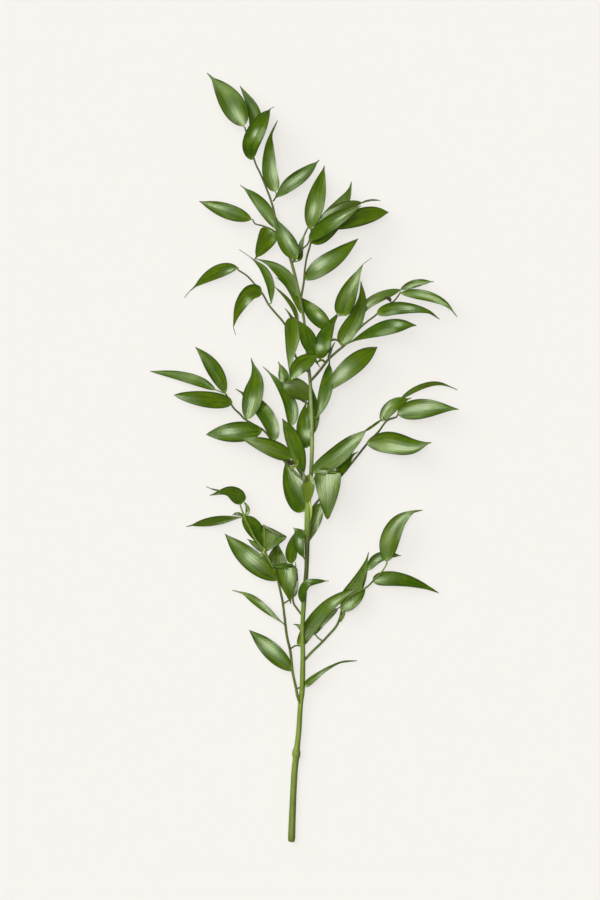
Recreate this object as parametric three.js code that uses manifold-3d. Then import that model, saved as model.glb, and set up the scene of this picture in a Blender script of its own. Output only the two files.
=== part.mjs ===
// A cut stem of ruscus lying on a table: one slender main stem with leafy side sprays.
// Millimetres. +Y runs from the cut end to the crown, +Z is up, and the surface is z = 0.

import * as THREE from 'three';
import { mergeVertices } from 'three/addons/utils/BufferGeometryUtils.js';
import Module from 'manifold-3d';

const wasm = await Module();
wasm.setup();

// Driving dimensions.
const BLADE_THICK = 0.9;       // at the midrib
const EDGE_THICK = 0.64;       // along both edges
const TIP_HALF_WIDTH = 0.35;
const PETIOLE_RADIUS = 0.65;
const PETIOLE_REACH = 0.6;     // a blade that begins nearer than this to its twig has no petiole
const CUP = 0.14;              // depth of the blade's fold, as a share of its half width
const BASE_POWER = 0.75;       // how slowly a common blade widens from its base
const TIP_POWER = 1.35;        // how finely it draws out to its tip
const ROLL_SHARE = 0.25;       // share of the blade's length in which its roll comes on
const BLADE_STATIONS = [0, 0.07, 0.18, 0.33, 0.48, 0.63, 0.78, 0.9, 1];
const STEM_SIDES = 8;
const TWIG_SIDES = 6;
const STEM_STEP = 15;          // length of one piece of a stem or twig
const TWIG_STEP = 9;
const MERGE_DISTANCE = 1e-4;

const GREEN_LEAF = { color: 0x47761c, roughness: 0.42, metalness: 0 };
const GREEN_STEM = { color: 0x87a04a, roughness: 0.55, metalness: 0 };

// Main stem: x, y, z and radius from the cut end to the crown. It lies flat on the surface
// up to the ring of its first node, and from there the leaves beneath it prop it up.
const FLAT_HALF = Math.cos(Math.PI / STEM_SIDES);
const MAIN_STEM = [
  [-11.1, -326.8, 2.65 * FLAT_HALF, 2.65],
  [-11.0, -324.0, 3.15 * FLAT_HALF, 3.15],
  [-10.5, -310.0, 3.0 * FLAT_HALF, 3.0],
  [-9.6, -288.0, 2.8 * FLAT_HALF, 2.8],
  [-8.4, -266.0, 2.8 * FLAT_HALF, 2.8],
  [-7.1, -254.0, 3.1, 3.2],
  [-6.6, -250.5, 3.4, 3.45],
  [-6.0, -246.0, 3.6, 2.8],
  [-4.8, -232.0, 4.5, 2.3],
  [-3.4, -210.0, 5.6, 2.2],
  [-2.1, -197.6, 6.3, 2.25],
  [-1.3, -176.4, 7.6, 1.95],
  [-1.7, -146.0, 9.6, 1.85],
  [-0.4, -121.1, 11.6, 2.1],
  [1.7, -95.0, 13.9, 1.9],
  [2.6, -70.1, 16.2, 2.1],
  [3.0, -56.0, 17.5, 2.5],
  [2.6, -43.0, 18.6, 2.4],
  [3.6, -31.0, 19.6, 2.0],
  [5.5, -14.9, 21.0, 1.75],
  [6.4, 10.0, 23.0, 1.7],
  [6.3, 32.0, 24.8, 1.7],
  [5.4, 50.0, 26.0, 1.6],
  [4.7, 66.0, 27.3, 1.45],
  [2.4, 86.3, 28.5, 1.2],
  [0.8, 108.4, 29.6, 1.1],
  [-2.1, 133.9, 30.8, 1.25],
  [-7.2, 155.1, 31.6, 1.35],
  [-10.6, 167.0, 32.0, 1.25],
  [-16.6, 181.5, 32.0, 1.15],
  [-23.6, 198.0, 32.0, 1.1],
  [-27.6, 215.5, 31.6, 1.0],
  [-36.0, 237.6, 30.8, 0.9],
  [-41.2, 248.6, 30.4, 0.87],
  [-44.4, 258.8, 30.0, 0.85],
  [-50.6, 280.1, 29.0, 0.8],
];

// Twigs: x, y, z and radius of each point, from beside the main stem outwards.
// Leaves: where the blade begins, a point halfway, its tip, its width, its roll in degrees,
// which lifts its left edge as seen from the base, and its two powers if they aren't common.
const SPRAYS = {
  main_stem: {
    twigs: [
      MAIN_STEM,
      [[6.4, 8.5, 22.6, 0.8], [-3.0, 17.0, 19.0, 0.7], [-11.0, 26.5, 16.5, 0.7]],
      [[4.9, -20.0, 20.8, 0.9], [12.0, -15.5, 22.4, 0.8], [18.0, -14.2, 23.6, 0.7]],
      [[-0.8, -134.0, 10.6, 0.8], [-6.0, -127.0, 10.2, 0.7], [-8.9, -121.5, 9.8, 0.7],
        [-10.4, -104.0, 9.0, 0.6], [-10.6, -90.0, 9.6, 0.6]],
    ],
    leaves: [
      [[-51.4, 281.4, 29.0], [-65.0, 305.3, 31.0], [-82.9, 326.8, 22.0], 19.5, -8],
      [[-44.6, 261.0, 29.5], [-42.9, 289.5, 25.0], [-54.8, 314.9, 20.0], 14.5, 18],
      [[-44.8, 253.5, 31.0], [-40.9, 276.5, 36.0], [-25.9, 297.1, 33.0], 17.0, -22],
      [[-25.6, 193.8, 31.0], [-39.1, 217.2, 26.0], [-54.8, 230.8, 19.0], 13.5, 40],
      [[-9.0, 167.5, 34.0], [-16.8, 186.0, 38.5], [-25.1, 206.1, 37.0], 16.0, 18],
      [[-8.4, 167.5, 29.6], [-1.6, 174.8, 26.0], [3.8, 196.8, 25.0], 9.0, -35],
      [[-6.6, 137.5, 30.0], [-21.3, 157.7, 24.5], [-42.9, 168.7, 17.0], 12.5, 30],
      [[-3.8, 127.0, 29.0], [-11.9, 142.5, 20.5], [-24.2, 153.4, 16.0], 5.0, 12],
      [[-2.6, 116.5, 28.6], [-15.3, 133.7, 23.0], [-26.8, 146.6, 17.5], 6.0, 55],
      [[-11.5, 27.6, 16.2], [-14.5, 50.6, 13.5], [-36.1, 76.9, 9.0], 11.0, -12],
      [[7.4, 20.0, 21.4], [7.2, 43.5, 18.6], [5.5, 63.3, 22.0], 11.0, -10],
      [[4.6, 10.5, 21.6], [-0.8, 26.8, 20.2], [1.3, 47.2, 20.0], 11.5, 10],
      [[-1.4, -13.2, 22.0], [-8.0, 9.5, 27.0], [-19.1, 32.7, 30.0], 14.5, -10, 0.6],
      [[4.0, 86.0, 26.8], [3.4, 101.2, 25.2], [-4.7, 115.2, 25.0], 12.0, -15],
      [[0.4, -47.5, 17.0], [-9.8, -24.2, 13.0], [-15.7, -2.1, 12.5], 18.0, 10],
      [[4.2, -15.5, 23.2], [2.6, -27.6, 24.0], [7.2, -42.9, 22.0], 9.5, 20],
      [[-10.6, -89.0, 9.8], [-11.6, -77.8, 10.5], [-7.2, -62.5, 11.0], 10.0, -20],
      [[0.6, -62.5, 18.4], [-6.6, -69.0, 18.2], [-1.3, -85.4, 12.5], 11.0, 25],
      [[-8.9, -120.5, 9.8], [-8.6, -108.4, 9.0], [-5.5, -89.7, 8.5], 9.5, -15],
      [[-1.2, -123.0, 14.2], [0.9, -108.9, 16.2], [20.0, -104.9, 15.0], 7.5, 30, 0.6, 1.6],
      [[0.4, -194.5, 7.0], [17.4, -180.2, 7.5], [42.9, -173.0, 2.5], 9.0, 35, 0.55, 2.2],
      [[9.0, 57.5, 24.0], [39.2, 76.2, 21.5], [62.5, 95.6, 15.5], 19.0, 8, 1.15],
      [[8.0, 32.2, 26.7], [20.0, 61.2, 32.0], [20.0, 82.9, 32.0], 11.8, 18, 1.0],
      [[6.8, -13.5, 22.0], [29.0, 1.2, 23.5], [62.0, 30.5, 27.0], 19.5, -15, 0.75, 1.6],
      [[19.1, -13.6, 23.4], [20.8, -29.3, 21.5], [18.3, -52.3, 13.5], 20.5, 6, 0.4, 1.0],
      [[4.4, -69.0, 16.0], [10.4, -47.5, 9.4], [14.0, -34.0, 8.6], 9.0, -15],
    ],
  },
  crown_tip_twig: {
    twigs: [[[-26.6, 217.3, 33.2, 0.75], [-24.4, 220.6, 33.2, 0.7], [-23.6, 223.0, 32.8, 0.65]]],
    leaves: [
      [[-24.4, 225.0, 33.0], [-30.8, 254.6, 35.0], [-22.5, 286.0, 27.0], 14.5, -28],
      [[-21.9, 223.6, 32.6], [-5.0, 238.8, 31.0], [13.2, 253.7, 22.0], 13.5, 38],
    ],
  },
  crown_left_twig: {
    twigs: [[[-24.1, 191.0, 32.0, 0.75], [-29.3, 194.2, 30.0, 0.75], [-36.1, 196.8, 28.0, 0.7],
      [-42.1, 198.5, 26.0, 0.65], [-43.8, 202.0, 25.0, 0.6]]],
    leaves: [
      [[-44.6, 203.0, 25.0], [-67.5, 209.6, 22.0], [-89.7, 218.9, 13.0], 13.4, -15],
      [[-29.5, 193.6, 30.8], [-33.4, 181.6, 31.5], [-43.8, 167.0, 24.0], 17.5, -10, 0.45],
    ],
  },
  crown_right_twig: {
    twigs: [[[-7.9, 167.9, 31.3, 0.7], [-6.2, 171.3, 30.8, 0.7], [-2.1, 176.4, 30.6, 0.7],
      [3.0, 181.5, 31.0, 0.7], [5.4, 189.5, 32.0, 0.65], [5.6, 194.0, 32.2, 0.6]]],
    leaves: [
      [[5.2, 195.5, 32.4], [10.4, 218.9, 36.0], [17.4, 247.8, 30.0], 18.0, 10],
      [[8.0, 194.5, 32.0], [31.3, 214.4, 30.6], [40.4, 234.2, 25.0], 13.0, 10],
      [[7.0, 190.6, 32.0], [31.9, 212.1, 33.0], [64.2, 218.0, 23.0], 11.0, -30],
    ],
  },
  upper_right_twig: {
    twigs: [[[-0.2, 138.0, 32.4, 0.95], [-1.0, 148.3, 33.2, 0.9], [-0.4, 159.4, 33.6, 0.85],
      [1.0, 169.6, 34.0, 0.8], [3.0, 176.4, 34.6, 0.8], [4.9, 182.5, 35.2, 0.75]]],
    leaves: [
      [[0.2, 152.5, 33.6], [20.8, 166.2, 33.0], [45.5, 186.6, 24.0], 17.0, 12],
      [[4.6, 184.0, 36.0], [22.5, 197.2, 40.0], [50.6, 214.6, 34.0], 14.0, 15],
      [[20.0, 191.7, 28.5], [47.0, 203.0, 22.5], [71.0, 208.7, 16.0], 16.5, -12, 1.0],
      [[5.8, 181.5, 34.6], [19.1, 189.1, 29.0], [37.0, 200.2, 25.0], 11.0, -30],
    ],
  },
  upper_left_spray: {
    twigs: [[[0.0, 87.0, 25.6, 1.0], [-3.6, 94.5, 22.4, 1.0], [-9.0, 103.5, 21.0, 1.0],
      [-17.9, 114.8, 20.5, 0.95], [-25.1, 123.3, 20.0, 0.9], [-30.6, 130.1, 19.0, 0.85],
      [-36.1, 139.8, 18.0, 0.8], [-44.6, 150.0, 16.0, 0.75], [-49.7, 155.1, 15.0, 0.7],
      [-56.5, 159.4, 14.0, 0.65]]],
    leaves: [
      [[-58.0, 160.2, 14.0], [-74.4, 157.3, 15.5], [-98.8, 138.3, 0.3], 11.5, -20],
      [[-37.5, 141.8, 18.6], [-51.0, 136.2, 21.0], [-60.4, 111.8, 9.0], 13.5, -20],
      [[-31.0, 133.5, 18.6], [-33.0, 153.4, 14.5], [-48.9, 173.0, 8.0], 9.5, 40, 1.05],
    ],
  },
  centre_left_twig: {
    twigs: [[[2.6, 45.6, 24.9, 0.95], [-7.2, 52.3, 24.4, 0.9], [-14.0, 60.0, 25.0, 0.8],
      [-17.3, 64.5, 25.6, 0.7]]],
    leaves: [
      [[-13.8, 67.6, 27.0], [-10.6, 95.6, 33.0], [-12.4, 122.5, 30.0], 13.2, 12, 1.1, 0.5],
      [[-12.3, 66.7, 27.4], [-3.4, 79.1, 32.0], [8.1, 85.4, 33.0], 12.0, -15],
      [[-18.0, 66.0, 25.6], [-19.2, 73.8, 26.0], [-22.5, 81.2, 23.0], 8.0, 20],
      [[-16.4, 61.4, 25.5], [-3.5, 56.0, 24.8], [10.5, 42.0, 21.5], 14.5, -8],
    ],
  },
  mid_left_spray: {
    twigs: [[[1.5, -22.0, 20.4, 1.15], [-3.0, -17.5, 20.4, 1.1], [-10.6, -9.8, 20.0, 1.1],
      [-18.3, -1.3, 19.4, 1.1], [-24.5, 8.5, 19.0, 1.05], [-29.3, 16.6, 19.0, 1.0],
      [-35.3, 23.4, 18.6, 0.95], [-49.7, 31.9, 17.0, 0.9], [-54.8, 37.0, 16.0, 0.85],
      [-60.8, 42.9, 15.0, 0.8], [-66.7, 54.0, 13.0, 0.7]],
    [[-11.0, -9.2, 20.2, 0.8], [-8.4, -7.0, 20.6, 0.7], [-8.7, -4.2, 20.8, 0.7]]],
    leaves: [
      [[-67.6, 55.2, 13.0], [-78.6, 77.8, 14.0], [-93.1, 93.9, 9.0], 14.5, -20],
      [[-76.1, 57.4, 12.0], [-101.0, 68.0, 8.0], [-131.3, 75.2, 0.3], 11.0, 38],
      [[-62.5, 45.0, 15.0], [-86.8, 48.9, 12.0], [-110.9, 54.8, 5.0], 14.5, -18],
      [[-49.4, 34.0, 18.0], [-42.9, 56.5, 24.0], [-44.6, 81.2, 22.0], 16.5, 14],
      [[-38.0, 22.6, 20.5], [-59.6, 22.4, 24.0], [-83.7, 21.7, 18.0], 17.5, -14, 0.75, 1.15],
      [[-27.2, 15.5, 19.4], [-36.6, 42.2, 14.0], [-59.1, 58.2, 9.0], 16.0, 25, 0.5],
      [[-10.5, -1.5, 21.0], [-32.0, 9.4, 22.5], [-54.8, 16.6, 17.5], 15.0, 14],
    ],
  },
  upper_right_spray: {
    twigs: [[[6.9, 66.2, 28.9, 1.0], [9.8, 70.1, 27.9, 1.05], [13.2, 74.4, 27.4, 1.0],
      [20.0, 83.7, 27.0, 1.0], [25.9, 89.7, 27.0, 0.95], [34.4, 96.5, 26.6, 0.9],
      [40.4, 102.4, 26.0, 0.9], [47.2, 110.1, 25.0, 0.85], [54.0, 116.0, 24.0, 0.8],
      [60.8, 121.1, 23.0, 0.8], [66.7, 127.1, 22.0, 0.75], [76.1, 133.0, 20.0, 0.7],
      [81.2, 139.8, 18.6, 0.65]],
    [[20.0, 84.6, 27.4, 0.75], [22.5, 92.2, 28.6, 0.7], [25.1, 101.0, 29.4, 0.65],
      [27.6, 119.5, 29.6, 0.6]]],
    leaves: [
      [[27.8, 121.5, 29.6], [38.6, 141.5, 28.0], [50.6, 164.5, 20.0], 16.0, 16],
      [[15.8, 80.5, 27.0], [18.6, 101.4, 23.5], [28.5, 122.8, 24.0], 15.5, -20],
      [[25.5, 107.0, 26.5], [8.9, 123.3, 22.0], [-3.8, 138.1, 21.0], 14.0, 14],
      [[31.6, 96.8, 27.6], [43.8, 122.8, 35.0], [48.0, 150.0, 36.0], 19.0, 12],
      [[42.9, 123.7, 22.0], [62.5, 135.2, 20.5], [92.2, 144.9, 13.0], 9.5, 35],
      [[82.0, 141.5, 18.6], [93.1, 147.9, 19.0], [110.1, 149.2, 13.0], 9.0, -30],
      [[82.4, 139.4, 18.4], [106.0, 137.0, 13.5], [129.6, 119.4, 0.3], 10.0, 35],
      [[62.0, 122.0, 23.4], [85.8, 127.9, 24.0], [113.2, 119.0, 14.0], 11.5, -20],
      [[36.0, 96.8, 27.0], [69.8, 111.0, 27.0], [94.8, 111.8, 17.0], 14.0, 18, 1.15],
    ],
  },
  mid_right_spray: {
    twigs: [[[5.9, -47.0, 15.4, 1.15], [8.6, -40.5, 12.0, 1.15], [18.3, -29.3, 10.6, 1.1],
      [30.2, -16.6, 12.0, 1.05], [38.7, -6.4, 14.0, 1.0], [45.5, 2.1, 15.5, 1.0],
      [53.1, 11.5, 17.0, 0.95], [63.3, 22.5, 18.0, 0.9], [71.0, 31.9, 18.0, 0.85],
      [77.6, 38.0, 17.6, 0.75], [79.6, 46.0, 16.4, 0.65]]],
    leaves: [
      [[80.6, 49.0, 16.0], [106.7, 62.0, 11.0], [131.3, 58.2, 0.3], 9.0, 62],
      [[68.5, 30.6, 18.2], [73.5, 44.2, 17.6], [90.5, 51.4, 12.5], 11.5, 18],
      [[79.5, 38.4, 18.4], [104.6, 41.4, 21.0], [131.3, 42.1, 12.0], 18.0, -12],
      [[54.6, 12.4, 17.6], [78.0, 12.2, 18.5], [108.4, 14.0, 8.0], 19.5, 10],
      [[29.4, -15.2, 13.4], [34.6, -3.8, 17.0], [45.6, 5.0, 18.6], 11.5, -15],
    ],
  },
  lower_left_spray: {
    twigs: [[[-5.8, -203.5, 8.2, 1.25], [-7.2, -196.0, 7.6, 1.2], [-9.4, -182.3, 7.4, 1.15],
      [-11.0, -165.0, 8.2, 1.15], [-14.4, -150.9, 9.2, 1.1], [-17.0, -125.4, 11.2, 1.05],
      [-20.0, -112.6, 12.2, 1.0], [-24.2, -98.2, 13.2, 1.0], [-30.2, -87.1, 14.0, 0.95],
      [-34.4, -78.6, 14.0, 0.9], [-41.2, -70.1, 13.6, 0.85], [-48.9, -55.7, 12.6, 0.75],
      [-52.3, -48.9, 12.2, 0.7], [-54.8, -42.5, 12.4, 0.6]],
    [[-11.6, -162.5, 8.2, 0.75], [-8.1, -160.2, 6.6, 0.7]],
    [[-17.6, -124.0, 11.4, 0.8], [-12.6, -121.0, 13.2, 0.7]]],
    leaves: [
      [[-10.2, -181.5, 7.6], [-30.2, -162.6, 6.5], [-47.2, -145.8, 0.3], 16.5, -12],
      [[-16.2, -141.5, 10.0], [-38.5, -124.7, 7.5], [-61.6, -113.5, 2.0], 7.6, 30, 1.4, 1.7],
      [[-23.4, -104.0, 12.6], [-48.0, -84.2, 11.5], [-67.6, -65.0, 4.0], 19.5, 8],
      [[-11.8, -121.8, 13.4], [-14.7, -105.6, 20.0], [-16.6, -90.6, 15.0], 19.0, -8, 1.0, 0.45],
      [[-23.6, -99.0, 12.0], [-23.2, -85.4, 9.5], [-22.1, -71.8, 7.0], 19.5, 15, 0.6],
      [[-34.0, -79.2, 13.0], [-43.4, -62.4, 9.5], [-51.8, -50.2, 6.0], 16.0, 12, 1.2, 0.8],
      [[-33.6, -78.4, 14.8], [-30.6, -67.4, 17.0], [-14.0, -67.0, 11.0], 19.5, 20, 0.45, 1.0],
      [[-36.0, -77.0, 12.4], [-41.6, -72.4, 10.5], [-48.6, -69.2, 8.0], 5.0, 30],
      [[-24.2, -98.2, 10.5], [-31.0, -88.0, 9.5], [-36.1, -80.3, 9.0], 6.0, 10],
      [[-53.5, -39.5, 12.6], [-61.0, -29.0, 14.0], [-80.3, -31.9, 5.0], 13.0, 16],
      [[-51.6, -49.0, 12.8], [-48.6, -42.9, 14.5], [-52.3, -35.5, 15.0], 5.0, 45],
      [[-54.6, -49.8, 11.6], [-78.6, -53.8, 8.0], [-100.7, -58.2, 1.0], 8.2, -42, 1.4, 1.0],
      [[-6.4, -158.6, 6.2], [10.6, -137.6, 5.6], [34.4, -112.4, 7.2], 16.3, 6, 0.7, 0.95],
      [[-6.0, -153.0, 5.6], [-6.6, -147.6, 5.4], [-8.9, -142.4, 5.0], 4.0, 0],
    ],
  },
  lower_right_spray: {
    twigs: [[[2.0, -171.6, 7.4, 1.15], [4.7, -166.2, 7.4, 1.1], [10.2, -161.3, 7.8, 1.1],
      [15.3, -156.1, 8.6, 1.05], [22.0, -148.4, 10.0, 1.05], [29.5, -140.1, 11.5, 1.0],
      [31.4, -131.3, 12.2, 0.95], [33.2, -125.2, 12.6, 0.9], [38.7, -116.0, 13.2, 0.9],
      [45.5, -112.6, 13.6, 0.85], [52.3, -110.9, 14.0, 0.8], [58.2, -105.0, 14.6, 0.8],
      [65.9, -97.3, 15.0, 0.75], [70.8, -90.0, 15.2, 0.65]],
    [[47.5, -112.2, 13.8, 0.7], [50.0, -104.0, 12.4, 0.65], [52.4, -97.0, 12.0, 0.6]],
    [[15.3, -156.1, 8.0, 0.7], [11.5, -153.4, 4.5, 0.65], [9.6, -151.0, 2.6, 0.65]]],
    leaves: [
      [[70.6, -88.6, 15.6], [73.5, -63.3, 20.0], [99.9, -44.6, 15.0], 18.5, 14],
      [[53.4, -95.6, 12.0], [63.8, -84.8, 11.5], [82.0, -83.7, 8.0], 9.5, 30],
      [[34.6, -122.0, 13.4], [47.9, -102.0, 17.5], [53.4, -80.3, 16.0], 13.8, -20],
      [[33.6, -126.2, 12.4], [43.8, -121.1, 10.5], [53.1, -110.1, 8.5], 12.0, -25],
      [[9.6, -150.5, 2.2], [17.8, -136.3, 1.6], [31.5, -127.5, 1.8], 6.5, 0],
      [[59.4, -104.6, 14.4], [83.7, -103.7, 12.5], [114.3, -115.2, 0.3], 12.5, 30],
    ],
  },
};

// A solid from its corners and its triangles, which are wound to face out.
function solidFrom(positions, triangles) {
  return new wasm.Manifold(new wasm.Mesh({
    numProp: 3,
    vertProperties: new Float32Array(positions),
    triVerts: new Uint32Array(triangles),
  }));
}

// Closes a row of rings, each with the same number of corners, into one skin. With
// `alike`, the second half of each band is split the other way, so that the two faces
// of a curved blade have the same triangles and never cross.
function skin(rings, alike) {
  const sides = rings[0].length;
  const last = rings.length - 1;
  const triangles = [];
  const at = (ring, corner) => ring * sides + (corner % sides);
  for (let ring = 0; ring < last; ring += 1) {
    for (let corner = 0; corner < sides; corner += 1) {
      const a = at(ring, corner);
      const b = at(ring, corner + 1);
      const c = at(ring + 1, corner + 1);
      const d = at(ring + 1, corner);
      if (alike && corner >= sides / 2) {
        triangles.push(a, b, d, b, c, d);
      } else {
        triangles.push(a, b, c, a, c, d);
      }
    }
  }
  for (let corner = 1; corner + 1 < sides; corner += 1) {
    triangles.push(at(0, 0), at(0, corner + 1), at(0, corner));
    triangles.push(at(last, 0), at(last, corner), at(last, corner + 1));
  }
  return solidFrom(rings.flat().flatMap((p) => [p.x, p.y, p.z]), triangles);
}

// The direction to the left of a heading, rolled from level, and the one square to both.
function sideways(heading, roll = 0) {
  const left = new THREE.Vector3(-heading.y, heading.x, 0).normalize();
  const up = new THREE.Vector3().crossVectors(heading, left).normalize();
  const side = left.clone().multiplyScalar(Math.cos(roll)).addScaledVector(up, Math.sin(roll));
  return { side, face: new THREE.Vector3().crossVectors(heading, side).normalize() };
}

// The smooth line through the points of a stem or twig.
function twigCurve(points) {
  return new THREE.CatmullRomCurve3(points.map(([x, y, z]) => new THREE.Vector3(x, y, z)));
}

// A round stem or twig through its points, with its radius running from one to the next.
function twigSolid(points, sides, step) {
  const curve = twigCurve(points);
  const spans = points.length - 1;
  const places = [];
  for (let span = 0; span < spans; span += 1) {
    const from = curve.getPoint(span / spans);
    const steps = Math.max(1, Math.round(from.distanceTo(curve.getPoint((span + 1) / spans)) / step));
    for (let i = 0; i < steps; i += 1) {
      const radius = THREE.MathUtils.lerp(points[span][3], points[span + 1][3], i / steps);
      places.push({ t: (span + i / steps) / spans, radius });
    }
  }
  places.push({ t: 1, radius: points[spans][3] });
  const rings = places.map(({ t, radius }) => {
    const centre = curve.getPoint(t);
    const { side, face } = sideways(curve.getTangent(t));
    return Array.from({ length: sides }, (_, corner) => {
      const angle = (2 * Math.PI * (corner + 0.5)) / sides;
      return centre.clone()
        .addScaledVector(side, radius * Math.cos(angle))
        .addScaledVector(face, radius * Math.sin(angle));
    });
  });
  return skin(rings, false);
}

// The point on the node's own stem or twigs that is nearest to where a blade begins.
function nearestOnTwigs(twigs, point) {
  const places = twigs.flatMap((points) => twigCurve(points).getPoints(points.length * 12));
  return places.reduce((best, place) => (
    place.distanceTo(point) < best.distanceTo(point) ? place : best
  ));
}

// Six corners of a blade's section: left edge, midrib and right edge, above and below.
// A blade that reaches the surface lies flat on it.
function bladeRing(centre, heading, halfWidth, roll, edge, rib) {
  const { side, face } = sideways(heading, roll);
  const fold = CUP * halfWidth;
  const corner = (across, lift) => {
    const place = centre.clone().addScaledVector(side, across).addScaledVector(face, lift);
    place.z = Math.max(place.z, 0);
    return place;
  };
  return [
    corner(halfWidth, fold / 2 + edge / 2),
    corner(0, rib / 2 - fold / 2),
    corner(-halfWidth, fold / 2 + edge / 2),
    corner(-halfWidth, fold / 2 - edge / 2),
    corner(0, -rib / 2 - fold / 2),
    corner(halfWidth, fold / 2 - edge / 2),
  ];
}

// A leaf with its petiole, which is rooted in the middle of the twig that carries it.
function leafSolid(leaf, twigs) {
  const [at, via, tip, width, rollDegrees, basePower = BASE_POWER, tipPower = TIP_POWER] = leaf;
  const start = new THREE.Vector3(...at);
  const end = new THREE.Vector3(...tip);
  const handle = new THREE.Vector3(...via).multiplyScalar(2)
    .addScaledVector(start, -0.5).addScaledVector(end, -0.5);
  const midrib = new THREE.QuadraticBezierCurve3(start, handle, end);
  const roll = THREE.MathUtils.degToRad(rollDegrees);
  const belly = basePower / (basePower + tipPower);
  const swell = (t) => t ** basePower * (1 - t) ** tipPower;
  const rings = [];
  const root = nearestOnTwigs(twigs, start);
  const stalk = start.clone().sub(root);
  if (stalk.length() > PETIOLE_REACH) {
    rings.push(bladeRing(root, stalk.normalize(), PETIOLE_RADIUS, 0, PETIOLE_RADIUS, 2 * PETIOLE_RADIUS));
  }
  for (const t of BLADE_STATIONS) {
    const least = THREE.MathUtils.lerp(PETIOLE_RADIUS, TIP_HALF_WIDTH, t);
    const halfWidth = Math.max(least, ((width / 2) * swell(t)) / swell(belly));
    const turned = roll * Math.min(1, t / ROLL_SHARE);
    rings.push(bladeRing(midrib.getPoint(t), midrib.getTangent(t), halfWidth, turned,
      EDGE_THICK, BLADE_THICK));
  }
  return skin(rings, true);
}

// Joins a node's stem, twigs and leaves into one closed body, without loose scraps.
function sprayBody({ twigs, leaves }) {
  const solids = twigs.map((points) => (
    points === MAIN_STEM
      ? twigSolid(points, STEM_SIDES, STEM_STEP)
      : twigSolid(points, TWIG_SIDES, TWIG_STEP)
  ));
  solids.push(...leaves.map((leaf) => leafSolid(leaf, twigs)));
  const joined = solids.reduce((body, solid) => body.add(solid));
  return joined.decompose().reduce((most, part) => (part.volume() > most.volume() ? part : most));
}

function sprayMesh(name, spray) {
  const body = sprayBody(spray).getMesh();
  const geometry = new THREE.BufferGeometry();
  geometry.setAttribute('position', new THREE.BufferAttribute(body.vertProperties, 3));
  geometry.setIndex(new THREE.BufferAttribute(body.triVerts, 1));
  const finish = spray.twigs.includes(MAIN_STEM) ? GREEN_STEM : GREEN_LEAF;
  const material = new THREE.MeshStandardMaterial(finish);
  const mesh = new THREE.Mesh(mergeVertices(geometry, MERGE_DISTANCE), material);
  mesh.name = name;
  return mesh;
}

const ruscusStem = new THREE.Group();
for (const [name, spray] of Object.entries(SPRAYS)) {
  ruscusStem.add(sprayMesh(name, spray));
}

export default ruscusStem;
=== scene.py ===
import math
import random

import bpy
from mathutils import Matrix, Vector


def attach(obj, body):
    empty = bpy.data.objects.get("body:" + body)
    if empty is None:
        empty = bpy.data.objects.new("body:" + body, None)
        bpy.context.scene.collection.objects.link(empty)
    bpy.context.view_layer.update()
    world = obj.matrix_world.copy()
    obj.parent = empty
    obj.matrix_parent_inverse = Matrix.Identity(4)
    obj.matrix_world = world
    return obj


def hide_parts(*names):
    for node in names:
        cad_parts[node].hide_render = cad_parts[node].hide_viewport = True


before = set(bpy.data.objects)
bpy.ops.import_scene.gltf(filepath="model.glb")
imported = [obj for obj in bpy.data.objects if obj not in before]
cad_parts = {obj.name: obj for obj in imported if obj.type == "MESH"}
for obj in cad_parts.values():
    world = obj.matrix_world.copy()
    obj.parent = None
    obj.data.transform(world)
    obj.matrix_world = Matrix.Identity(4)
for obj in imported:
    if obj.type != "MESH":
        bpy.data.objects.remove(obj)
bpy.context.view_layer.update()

# ---------------------------------------------------------------------------------------
# The surface: a wide sheet of pale, slightly warm card that the stem is laid on. It is
# matt, glows a little so that it stays pale, and isn't part of the stem.

SURFACE_SIZE = 6.0


def set_inputs(node, values):
    """Give a node's inputs their values, by the inputs' names."""
    for name, value in values.items():
        node.inputs[name].default_value = value


def new_material(name):
    """A material, its node tree and its shader."""
    made = bpy.data.materials.new(name)
    made.use_nodes = True
    tree = made.node_tree
    return made, tree, tree.nodes["Principled BSDF"]


def deselect():
    bpy.ops.object.select_all(action="DESELECT")


deselect()
bpy.ops.mesh.primitive_plane_add(size=SURFACE_SIZE)
surface = bpy.context.object
surface.name = "surface"
card, _, card_shader = new_material("pale_card")
set_inputs(card_shader, {
    "Base Color": (0.22, 0.214, 0.204, 1.0),
    "Emission Color": (0.92, 0.895, 0.85, 1.0),
    "Emission Strength": 0.704,
    "Roughness": 0.9,
    "Specular IOR Level": 0.1,
})
surface.data.materials.append(card)

# ---------------------------------------------------------------------------------------
# Camera: straight above and far away, so that near and far leaves are drawn to one scale,
# with the cut end at the foot of the picture. It isn't part of the stem.

camera = bpy.data.objects.new("camera", bpy.data.cameras.new("camera"))
bpy.context.scene.collection.objects.link(camera)
camera.data.sensor_width = 36.0
camera.data.lens = 376.5
camera.data.clip_end = 50.0
camera.location = (-0.0038, 0.0064, 8.015)
bpy.context.scene.camera = camera
bpy.context.scene.view_settings.view_transform = "Standard"

# ---------------------------------------------------------------------------------------
# Light: a white room with a dimmer ceiling, with a soft lamp almost overhead that is bright
# in its middle and fades outwards, for the waxy sheen of the blades. A weak side lamp from
# the upper left shapes the stalks and lays the faint shadows on the surface.

WHITE = (1.0, 1.0, 1.0, 1.0)
ROOM = 0.285
CEILING = 0.04
CEILING_EDGE = (0.62, 0.86)             # sines of the heights where it starts and is whole
LAMP_TOWARD = (-0.095, 0.095, 0.991)
LAMP_RINGS = [(30, 2.2), (13, 18.3)]    # half angle in degrees, and strength in its middle
SIDE_LAMP_TOWARD = Vector((-0.62, 0.42, 0.66))
SIDE_LAMP_STRENGTH = 1.8
SIDE_LAMP_WIDTH = math.radians(40)


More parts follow.
